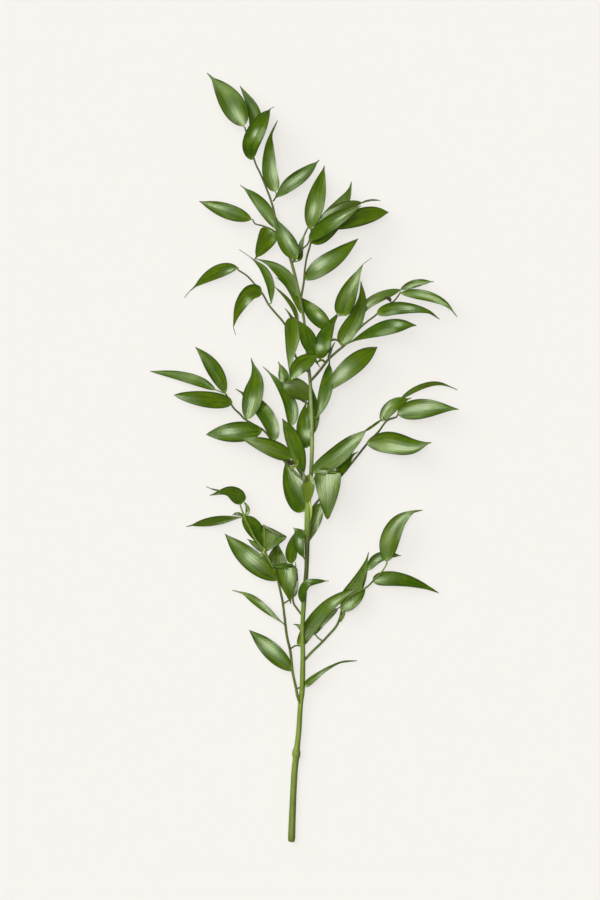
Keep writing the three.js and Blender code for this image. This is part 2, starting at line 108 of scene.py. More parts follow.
def node_at(tree, kind, x, y, **settings):
    """A shader node at its place in the tree, with its settings."""
    made = tree.nodes.new(kind)
    made.location = (x, y)
    for key, value in settings.items():
        setattr(made, key, value)
    return made


def ranged(tree, source, x, y, low, high, least=0.0, most=1.0, **settings):
    """A value taken from the range low to high into the range least to most."""
    made = node_at(tree, "ShaderNodeMapRange", x, y, **settings)
    set_inputs(made, {"From Min": low, "From Max": high, "To Min": least, "To Max": most})
    tree.links.new(source, made.inputs["Value"])
    return made.outputs["Result"]


room = bpy.data.worlds.new("room")
bpy.context.scene.world = room
room.use_nodes = True
room_tree = room.node_tree
toward = node_at(room_tree, "ShaderNodeTexCoord", -1200, 0).outputs["Generated"]
height = node_at(room_tree, "ShaderNodeSeparateXYZ", -1000, 200)
room_tree.links.new(toward, height.inputs["Vector"])
light = ranged(room_tree, height.outputs["Z"], -800, 200, *CEILING_EDGE, ROOM, CEILING)
turned = node_at(room_tree, "ShaderNodeVectorMath", -1000, -100, operation="DOT_PRODUCT")
turned.inputs[1].default_value = LAMP_TOWARD
room_tree.links.new(toward, turned.inputs[0])
for half_angle, strength in LAMP_RINGS:
    ring = ranged(room_tree, turned.outputs["Value"], -800, -100,
                  math.cos(math.radians(half_angle)), 1.0, most=strength,
                  interpolation_type="SMOOTHSTEP")
    both = node_at(room_tree, "ShaderNodeMath", -600, 0, operation="ADD")
    room_tree.links.new(light, both.inputs[0])
    room_tree.links.new(ring, both.inputs[1])
    light = both.outputs["Value"]
background = room_tree.nodes["Background"]
background.inputs["Color"].default_value = WHITE
room_tree.links.new(light, background.inputs["Strength"])

deselect()
bpy.ops.object.light_add(type="SUN", location=(-1.0, 1.0, 1.6))
side_lamp = bpy.context.object
side_lamp.name = "side_lamp"
side_lamp.rotation_euler = SIDE_LAMP_TOWARD.to_track_quat("Z", "Y").to_euler()
side_lamp.data.energy = SIDE_LAMP_STRENGTH
side_lamp.data.angle = SIDE_LAMP_WIDTH

# ---------------------------------------------------------------------------------------
# Main stem: a slender green stalk, finely ridged along its length and cut square at the
# foot, with the swollen ring of its first joint. It lies on the surface by its foot, and
# its crown end is thinner and darker.

MM = 0.001
STEM_REACH = 0.35                           # half the length that the bark's colours span
PAINTED_SHADE_SIDE = Vector((0.75, -0.25, -0.6))     # painted shade falls on the side facing this way, away from the side lamp
PAINTED_SHADE_FROM, PAINTED_SHADE_WHOLE = -0.35, 0.5
RIDGE_STRETCH = (2600.0, 90.0, 2600.0)      # fine across the stem, drawn out along it
STEM_STEP, STEM_SIDES = 2.5, 20             # the rounds of the stalk's mesh and its sides
STEM_DARK = (0.045, 0.065, 0.006, 1)

MAIN_STEM = [       # x, y and z of its middle line and its radius, in millimetres
    (-11.1, -326.8, 2.45, 2.65),
    (-11, -324, 2.91, 3.15),
    (-10.5, -310, 2.77, 3),
    (-9.6, -288, 2.59, 2.8),
    (-8.4, -266, 2.59, 2.8),
    (-7.5, -258, 3, 2.75),
    (-7.2, -255.6, 3.4, 2.9),
    (-7.05, -253.8, 3.8, 3.55),
    (-6.95, -250.6, 3.8, 3.6),
    (-6.7, -248.6, 3.8, 3),
    (-6.1, -244.5, 3.8, 2.5),
    (-4.8, -232, 4.5, 2.3),
    (-3.4, -210, 5.6, 2.2),
    (-2, -197.6, 6.3, 2.35),
    (-1.4, -176.4, 7.6, 2.2),
    (-1.4, -162, 8.5, 2),
    (-1.7, -146, 9.6, 1.85),
    (-0.4, -121.1, 11.6, 2.1),
    (1.7, -95, 13.9, 1.9),
    (2.3, -70.1, 16.2, 2.3),
    (2.9, -56, 17.5, 2.95),
    (3.0, -43, 18.6, 2.7),
    (3.6, -31, 19.6, 2),
    (5.5, -14.9, 21, 1.75),
    (6.4, 10, 23, 1.7),
    (6.3, 32, 24.8, 1.7),
    (5.4, 50, 26, 1.6),
    (4.7, 66, 27.3, 1.45),
    (2.4, 86.3, 28.5, 1.2),
    (1.4, 98, 29.1, 1.1),
    (0.6, 109.4, 29.7, 1.1),
    (-1.6, 124.5, 30.4, 1.15),
    (-3.5, 134.5, 30.8, 1.3),
    (-6, 145, 31.2, 1.35),
    (-8.3, 155.1, 31.6, 1.35),
    (-11.5, 167, 32, 1.25),
    (-16.6, 181.5, 32, 1.15),
    (-23.6, 198, 32, 1.1),
    (-27.6, 215.5, 31.6, 0.95),
    (-36, 237.6, 30.8, 0.82),
    (-41.2, 248.6, 30.4, 0.78),
    (-44.4, 258.8, 30, 0.75),
    (-50.6, 280.1, 29, 0.65),
]


def smooth_line(points, step):
    """Places and radii along the smooth line through the points, about a step apart."""
    ends = [points[0]] + list(points) + [points[-1]]
    line = []
    for before, here, there, after in zip(ends, ends[1:], ends[2:], ends[3:]):
        length = (Vector(there[:3]) - Vector(here[:3])).length
        pieces = max(1, round(length / step))
        for i in range(pieces):
            t = i / pieces
            line.append([
                0.5 * (2 * b + (c - a) * t + (2 * a - 5 * b + 4 * c - d) * t * t
                       + (3 * b - a - 3 * c + d) * t ** 3)
                for a, b, c, d in zip(before, here, there, after)
            ])
    line.append(list(points[-1]))
    return line


def stalk(name, runs, step, sides, material):
    """One mesh of round stalks through the points of each run."""
    route = bpy.data.curves.new(name, "CURVE")
    route.dimensions = "3D"
    route.bevel_depth = MM
    route.bevel_resolution = sides // 2 - 2     # gives the round just that many sides
    route.use_fill_caps = True
    for points in runs:
        line = smooth_line(points, step)
        spline = route.splines.new("POLY")
        spline.points.add(len(line) - 1)
        for point, (x, y, z, radius) in zip(spline.points, line):
            point.co = (x * MM, y * MM, z * MM, 1.0)
            point.radius = radius
    piece = bpy.data.objects.new(name, route)
    bpy.context.scene.collection.objects.link(piece)
    deselect()
    piece.select_set(True)
    bpy.context.view_layer.objects.active = piece
    bpy.ops.object.convert(target="MESH")
    piece = bpy.context.object
    piece.data.materials.clear()
    piece.data.materials.append(material)
    bpy.ops.object.shade_smooth_by_angle(angle=math.radians(50))
    # each point notes how far it faces away from the side lamp, for the bark's painted shade
    painted_shade = piece.data.attributes.new("painted_shade_side", "FLOAT", "POINT")
    painted_shade.data.foreach_set(
        "value", [vertex.normal.dot(PAINTED_SHADE_SIDE) for vertex in piece.data.vertices])
    return piece


def noise(tree, vector, x, y, scale, detail):
    """A noise texture, read at a vector."""
    made = node_at(tree, "ShaderNodeTexNoise", x, y)
    set_inputs(made, {"Scale": scale, "Detail": detail})
    tree.links.new(vector, made.inputs["Vector"])
    return made.outputs["Fac"]


def laid_over(tree, under, over, share, x, y):
    """A colour laid over another one by a share."""
    made = node_at(tree, "ShaderNodeMixRGB", x, y)
    made.inputs["Color2"].default_value = over
    tree.links.new(share, made.inputs["Fac"])
    tree.links.new(under, made.inputs["Color1"])
    return made.outputs["Color"]


def relief(tree, shader, height, strength, depth):
    """Fine relief on a finish, from its height."""
    made = node_at(tree, "ShaderNodeBump", -300, -300)
    set_inputs(made, {"Strength": strength, "Distance": depth})
    tree.links.new(height, made.inputs["Height"])
    tree.links.new(made.outputs["Normal"], shader.inputs["Normal"])


def bark(name, along, dark, blotched):
    """Green bark: its colour changes along the stem, with fine dark lines and ridges, and
    painted shade on the side away from the side lamp.
    """
    made, tree, shader = new_material(name)
    place = node_at(tree, "ShaderNodeTexCoord", -1400, 0).outputs["Object"]
    part = node_at(tree, "ShaderNodeSeparateXYZ", -1200, 400)
    tree.links.new(place, part.inputs["Vector"])
    up_the_stem = ranged(tree, part.outputs["Y"], -1000, 400, -STEM_REACH, STEM_REACH)
    ramp = node_at(tree, "ShaderNodeValToRGB", -800, 400)
    stops = ramp.color_ramp.elements
    while len(stops) < len(along):
        stops.new(0.5)
    for stop, (y, colour) in zip(stops, along):
        stop.position = (y * MM + STEM_REACH) / (2 * STEM_REACH)
        stop.color = colour + (1.0,)
    tree.links.new(up_the_stem, ramp.inputs["Fac"])

    blotch = noise(tree, place, -1000, 100, scale=60.0, detail=3.0)
    patch = ranged(tree, blotch, -800, 100, 0.4, 0.65, most=blotched)
    stretch = node_at(tree, "ShaderNodeMapping", -1000, -200)
    stretch.inputs["Scale"].default_value = RIDGE_STRETCH
    tree.links.new(place, stretch.inputs["Vector"])
    ridge = noise(tree, stretch.outputs["Vector"], -800, -200, scale=1.0, detail=2.0)
    line = ranged(tree, ridge, -600, -100, 0.52, 0.75, most=0.7)
    # painted shade: the side of the stalk that faces away from the side lamp is darkened
    side = node_at(tree, "ShaderNodeAttribute", -500, 500, attribute_name="painted_shade_side")
    painted_shade = ranged(tree, side.outputs["Fac"], -300, 500, PAINTED_SHADE_FROM, PAINTED_SHADE_WHOLE, most=0.95)

    colour = ramp.outputs["Color"]
    for x, share in ((-500, patch), (-300, line), (-100, painted_shade)):
        colour = laid_over(tree, colour, dark, share, x, 200)
    tree.links.new(colour, shader.inputs["Base Color"])
    set_inputs(shader, {"Roughness": 0.4, "Specular IOR Level": 0.2})
    relief(tree, shader, ridge, strength=0.4, depth=0.0002)
    return made


def dressed(piece, node):
    """The piece rides on the body and stands for its node, whose imported part is hidden."""
    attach(piece, "root")
    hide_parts(node)


stem_bark = bark("stem_bark", [
    (-327, (0.13, 0.17, 0.022)), (-252, (0.21, 0.28, 0.040)), (-225, (0.19, 0.26, 0.030)),
    # painted shade: the dark stops at -119 and -76 mm, where the stem lies in shade
    (-126, (0.16, 0.24, 0.030)), (-119, (0.055, 0.075, 0.014)), (-76, (0.06, 0.08, 0.014)),
    (-60, (0.16, 0.24, 0.030)), (-42, (0.24, 0.34, 0.070)), (-15, (0.09, 0.12, 0.026)),
    (8, (0.26, 0.35, 0.100)), (28, (0.27, 0.37, 0.100)), (50, (0.30, 0.41, 0.140)),
    (64, (0.15, 0.20, 0.050)), (72, (0.06, 0.08, 0.018)), (110, (0.12, 0.16, 0.030)),
    (135, (0.14, 0.19, 0.040)), (160, (0.13, 0.17, 0.040)), (240, (0.07, 0.08, 0.022)),
], STEM_DARK, blotched=0.35)
main_stalk = stalk("main_stalk", [MAIN_STEM], STEM_STEP, STEM_SIDES, stem_bark)
dressed(main_stalk, "main_stem")

# ---------------------------------------------------------------------------------------
# Leaf blades: tough waxy blades with fine veins from base to tip and a browned point, each
# grown on its own short stalk. One flat blade is made as a grid, and every leaf is a copy
# of it, laid along the leaf's midrib and given its thickness.

ROWS = 36
COLUMNS = 10
PETIOLE_ROWS = 3            # rows of the grid that the leaf's stalk takes
HAIR_ROWS = 3               # rows that a hair-thin dried end takes
BLADE_THICK = 0.36          # lengths here are in millimetres
PETIOLE_HALF = 0.5          # half the width of the leaf's stalk
PETIOLE_FROM = 0.6          # a leaf nearer to its twig than this has no stalk
PETIOLE_SHARE = 0.02        # of the blade's length, for the pattern on it alone
HAIR_SHARE = 0.1
TIP_HALF = 0.25             # half the width of the tip
BASE_POWER = 0.75           # how slowly the blade widens, and below how slowly it narrows
TIP_POWER = 1.2
POINT_SHARE = 0.18          # share of the length that is drawn out into a point
POINT_HALF = 0.09           # half the point's width, as a share of the blade's width
CUP = 0.14                  # how far the edges curl up, as a share of half the width
ROLLED_AT = 0.25            # share of the length at which a blade has all of its roll
WAVE = 0.35                 # height of the waves along the edges
WAVE_PACE = 9.0             # their angle over the whole blade, in radians
WAVE_FADE = 6.0             # they fade over one sixth of the blade at its ends
LOWEST = 0.2                # no blade lies lower above the surface
SEED_STEP = 7.0             # sets the streaks of one leaf apart from those of the next
VEIN_SWAY = 0.05
COARSE_VEINS, FINE_VEINS = 62.0, 171.0      # angle over the blade's width, in radians
STREAKS_ACROSS, STREAKS_ALONG = 7.0, 1.8

LEAF_DARK = (0.030, 0.078, 0.0006, 1)
LEAF_LIGHT = (0.058, 0.110, 0.0015, 1)
YOUNG_PATCH = (0.100, 0.162, 0.003, 1)
OLD_STREAK = (0.016, 0.040, 0.0004, 1)
VEIN = (0.15, 0.25, 0.014, 1)
PAINTED_EDGE_SHADE = (0.014, 0.034, 0.001, 1)
PALE_BASE = (0.15, 0.25, 0.02, 1)
BROWNED = (0.055, 0.050, 0.018, 1)
# withered brown; on one leaf of the lower left spray it is partly painted shade
WITHERED_AND_SHADE = (0.040, 0.038, 0.012, 1)
PALE_BACK = (0.27, 0.34, 0.05, 1)
WAX_TINT = (0.86, 1.0, 0.68, 1.0)

deselect()
bpy.ops.mesh.primitive_grid_add(x_subdivisions=COLUMNS, y_subdivisions=ROWS, size=1.0)
flat_blade = bpy.context.object
flat_blade.name = "flat_blade"
chance = random.Random(11)


def leaf_skin():
    """Waxy leaf green: a tone for each leaf, fine veins, painted shade along the edges and a
    browned tip.
    """
    made, tree, shader = new_material("leaf_skin")

    def worked(operation, x, y, first, second=None):
        """The result of a sum with one or two numbers or values."""
        made = node_at(tree, "ShaderNodeMath", x, y, operation=operation)
        for socket, value in zip(made.inputs, (first, second)):
            if isinstance(value, (int, float)):
                socket.default_value = value
            elif value is not None:
                tree.links.new(value, socket)
        return made.outputs["Value"]

    uv = node_at(tree, "ShaderNodeUVMap", -2000, 0, uv_map="blade")
    split = node_at(tree, "ShaderNodeSeparateXYZ", -1800, 0)
    tree.links.new(uv.outputs["UV"], split.inputs["Vector"])
    across, along = split.outputs["X"], split.outputs["Y"]
    place = node_at(tree, "ShaderNodeTexCoord", -2000, -400).outputs["Object"]
    blotch = noise(tree, place, -1600, -400, scale=70.0, detail=4.0)

    sway = worked("MULTIPLY", -1400, -400, blotch, VEIN_SWAY)
    swayed = worked("ADD", -1200, -300, across, sway)
    coarse = worked("SINE", -900, -300, worked("MULTIPLY", -1000, -300, swayed, COARSE_VEINS))
    fine = worked("SINE", -900, -450, worked("MULTIPLY", -1000, -450, swayed, FINE_VEINS))
    veins = worked("ADD", -700, -350, coarse, worked("MULTIPLY", -800, -450, fine, 0.2))
    seed = node_at(tree, "ShaderNodeAttribute", -1600, -700, attribute_name="leaf_seed")
    strip = node_at(tree, "ShaderNodeCombineXYZ", -1200, -700)
    tree.links.new(worked("MULTIPLY", -1400, -600, across, STREAKS_ACROSS), strip.inputs["X"])
    tree.links.new(worked("MULTIPLY", -1400, -700, along, STREAKS_ALONG), strip.inputs["Y"])
    tree.links.new(seed.outputs["Fac"], strip.inputs["Z"])
    streak = noise(tree, strip.outputs["Vector"], -1000, -700, scale=1.0, detail=3.0)

    off_centre = worked("ABSOLUTE", -1400, 600, worked("SUBTRACT", -1500, 600, across, 0.5))
    ragged = worked("ADD", -900, 1000, along, worked("MULTIPLY", -1100, 1000, blotch, 0.1))
    leaf_tone = node_at(tree, "ShaderNodeAttribute", -1600, 300, attribute_name="leaf_tone")
    tone = leaf_tone.outputs["Fac"]
    green = node_at(tree, "ShaderNodeMixRGB", -1000, 300)
    set_inputs(green, {"Color1": LEAF_DARK, "Color2": LEAF_LIGHT})
    tree.links.new(tone, green.inputs["Fac"])

    colour = green.outputs["Color"]
    for step, (source, low, high, most, over) in enumerate([    # each laid over the last
        (blotch, 0.35, 0.7, 0.75, YOUNG_PATCH),
        (streak, 0.44, 0.66, 0.65, OLD_STREAK),
        (veins, 0.4, 1.2, 0.22, VEIN),
        # painted shade: each half of the blade darkens towards its edge
        (off_centre, 0.38, 0.50, 0.85, PAINTED_EDGE_SHADE),
        (along, 0.07, 0.0, 0.45, PALE_BASE),
        (ragged, 0.97, 1.06, 1.0, BROWNED),
        (tone, 1.0, 2.0, 1.0, WITHERED_AND_SHADE),
        (tone, 0.0, -1.0, 1.0, PALE_BACK),
    ]):
        x = 200 * step - 800
        share = ranged(tree, source, x, 600, low, high, most=most)
        colour = laid_over(tree, colour, over, share, x, 300)
    tree.links.new(colour, shader.inputs["Base Color"])

    wax = ranged(tree, blotch, -400, -100, 0.0, 1.0, least=0.17, most=0.25)
    tree.links.new(wax, shader.inputs["Roughness"])
    set_inputs(shader, {"Specular IOR Level": 0.40, "Specular Tint": WAX_TINT})
    height = worked("ADD", -400, -400, worked("MULTIPLY", -600, -400, veins, 0.4),
                    worked("MULTIPLY", -600, -500, streak, 8.0))
    relief(tree, shader, height, strength=0.6, depth=0.00003)
    return made


leaf_green = leaf_skin()


def bezier(start, via, end, t):
    """The point at t of the curve from start to end that passes via at its middle."""
    handle = 2 * via - 0.5 * start - 0.5 * end
    return (1 - t) ** 2 * start + 2 * t * (1 - t) * handle + t * t * end


def nearest(runs, point):
    """The place on the twigs' lines that is nearest to a point."""
    places = [Vector(place[:3]) for run in runs for place in smooth_line(run, 1.5)]
    return min(places, key=lambda place: (place - point).length)


def blade_line(start, vias, end, t):
    """The point at t of a blade's midrib, which passes its vias at even steps."""
    if len(vias) == 1:
        return bezier(start, vias[0], end, t)
    line = [start] + vias + [end]
    span = min(int(t * (len(line) - 1)), len(line) - 2)
    share = t * (len(line) - 1) - span
    ends = [2 * line[0] - line[1]] + line + [2 * line[-1] - line[-2]]
    a, b, c, d = ends[span:span + 4]
    return 0.5 * (2 * b + (c - a) * share + (2 * a - 5 * b + 4 * c - d) * share ** 2
                  + (3 * b - a - 3 * c + d) * share ** 3)


def half_width(t, width, options):
    """Half the blade's width at t: a rounded body that draws out into a narrow point."""
    base_power = options.get("base", BASE_POWER)
    tip_power = options.get("tip", TIP_POWER)
    point = options.get("point", POINT_SHARE)
    neck = options.get("neck", POINT_HALF * width)
    belly = base_power / (base_power + tip_power)
    peak = belly ** base_power * (1 - belly) ** tip_power
    inner = min(1.0, t / (1 - 0.5 * point))
    body = width / 2 * inner ** base_power * (1 - inner) ** tip_power / peak
    drawn = (neck - TIP_HALF) * min(1.0, (1 - t) / point) + TIP_HALF if t > 0.5 else 0.0
    stub = PETIOLE_HALF if t < 0.5 else 0.0
    return (body ** 3 + drawn ** 3 + stub ** 3) ** (1 / 3)


def midrib(row, runs):
    """Stations of a leaf from twig to tip: place, share of the blade and half width.

    A leaf's row gives the foot of its blade, one point or a list of points that its midrib
    passes, its tip, its width and its roll in degrees. Options are "base", "tip", "point"
    and "neck" for its outline, "hair" for the way to the end of a dried tip, "stalk": 0
    for a leaf without one, "cup" for its curl, and "tone": 0 dark to 1 light green, 2
    withered, -1 the pale back of a fold.
    """
    at, via, tip, width, roll = row[:5]
    options = row[5] if len(row) > 5 else {}
    start, end = Vector(at), Vector(tip)
    vias = [Vector(point) for point in (via if isinstance(via, list) else [via])]
    root = nearest(runs, start)
    places = []
    if (root - start).length > PETIOLE_FROM and options.get("stalk", 1):
        for i in range(PETIOLE_ROWS):
            share = i / PETIOLE_ROWS
            places.append((root.lerp(start, share), (share - 1) * PETIOLE_SHARE, PETIOLE_HALF))
    hair = options.get("hair")
    blade_rows = ROWS - len(places) - (HAIR_ROWS if hair else 0)
    for i in range(blade_rows + 1):
        t = 0.5 - 0.5 * math.cos(math.pi * i / blade_rows)
        t = 0.5 * t + 0.5 * i / blade_rows
        places.append((blade_line(start, vias, end, t), t, half_width(t, width, options)))
    if hair:
        for i in range(1, HAIR_ROWS + 1):
            share = i / HAIR_ROWS
            half = TIP_HALF * (1.2 - share * 0.5)
            places.append((end + share * Vector(hair), 1 + share * HAIR_SHARE, half))
    return places, math.radians(roll), options


def laid_leaf(row, runs):
    """A copy of the flat blade, laid along the leaf's own midrib."""
    places, roll, options = midrib(row, runs)
    cup = options.get("cup", CUP)
    tone = options.get("tone", chance.uniform(0.15, 0.85))
    phase = [chance.uniform(0, 2 * math.pi) for _ in range(2)]
    blade = flat_blade.copy()
    blade.data = flat_blade.data.copy()
    bpy.context.scene.collection.objects.link(blade)
    last = len(places) - 1
    frames = []
    for i, (centre, t, half) in enumerate(places):
        ahead = (places[min(i + 1, last)][0] - places[max(i - 1, 0)][0]).normalized()
        left = Vector((-ahead.y, ahead.x, 0.0)).normalized()
        up = ahead.cross(left)
        turn = roll * min(1.0, max(0.0, t) / ROLLED_AT)
        side = left * math.cos(turn) + up * math.sin(turn)
        frames.append((centre, t, half, side, ahead.cross(side)))
    stations = []
    for vertex in blade.data.vertices:
        u = 2.0 * vertex.co.x
        centre, t, half, side, face = frames[round((vertex.co.y + 0.5) * ROWS)]
        inside = min(1.0, max(0.0, t) * WAVE_FADE) * min(1.0, max(0.0, 1 - t) * WAVE_FADE)
        wave = WAVE * inside * abs(u) ** 3 * math.sin(WAVE_PACE * t + phase[u > 0])
        lift = cup * half * (u * u - 0.5) + wave
        place = centre - side * (u * half) + face * lift
        vertex.co = (place.x * MM, place.y * MM, max(place.z, LOWEST) * MM)
        stations.append((0.5 + 0.5 * u, t))
    layer = blade.data.uv_layers[0]
    layer.name = "blade"
    for loop in blade.data.loops:
        layer.data[loop.index].uv = stations[loop.vertex_index]
    for name, value in (("leaf_tone", tone), ("leaf_seed", phase[0] * SEED_STEP)):
        layer = blade.data.attributes.new(name, "FLOAT", "POINT")
        layer.data.foreach_set("value", [value] * len(blade.data.vertices))
    return blade


def leaves(name, rows, runs):
    """All the blades of a spray as one piece, with their thickness."""
    blades = [laid_leaf(row, runs) for row in rows]
    deselect()
    for blade in blades:
        blade.select_set(True)
    piece = blades[0]
    bpy.context.view_layer.objects.active = piece
    bpy.ops.object.join()
    piece.name = name
    piece.data.name = name
    piece.data.materials.clear()
    piece.data.materials.append(leaf_green)
    thickness = piece.modifiers.new("thickness", "SOLIDIFY")
    thickness.thickness = BLADE_THICK * MM
    thickness.offset = 0.0
    bpy.ops.object.modifier_apply(modifier="thickness")
    bpy.ops.object.shade_smooth_by_angle(angle=math.radians(60))
    return piece


def spray(node, twigs, rows):
    """A side spray: its twigs in bark, and its leaves on them."""
    wood = stalk(node + "_wood", twigs, TWIG_STEP, TWIG_SIDES, twig_bark)
    dressed(wood, node)
    dressed(leaves(node + "_blades", rows, twigs), node)


# ---------------------------------------------------------------------------------------
# Leaves of the main stem: blades that grow on the stem itself or on one of its three short
# green side stalks. They are grown in one with it, and the smallest are dried bracts and
# the pale backs of folds.

TWIG_DARK = (0.028, 0.034, 0.006, 1)
TWIG_STEP, TWIG_SIDES = 2.0, 12

twig_bark = bark("twig_bark", [
    (-220, (0.12, 0.17, 0.018)), (-120, (0.10, 0.14, 0.014)), (-100, (0.16, 0.23, 0.028)),
    (-48, (0.18, 0.25, 0.032)), (-30, (0.12, 0.16, 0.020)), (-6, (0.13, 0.18, 0.024)),
    (6, (0.06, 0.08, 0.012)), (70, (0.08, 0.10, 0.014)),
    (130, (0.09, 0.11, 0.016)), (240, (0.06, 0.07, 0.016)),
], TWIG_DARK, blotched=0.6)

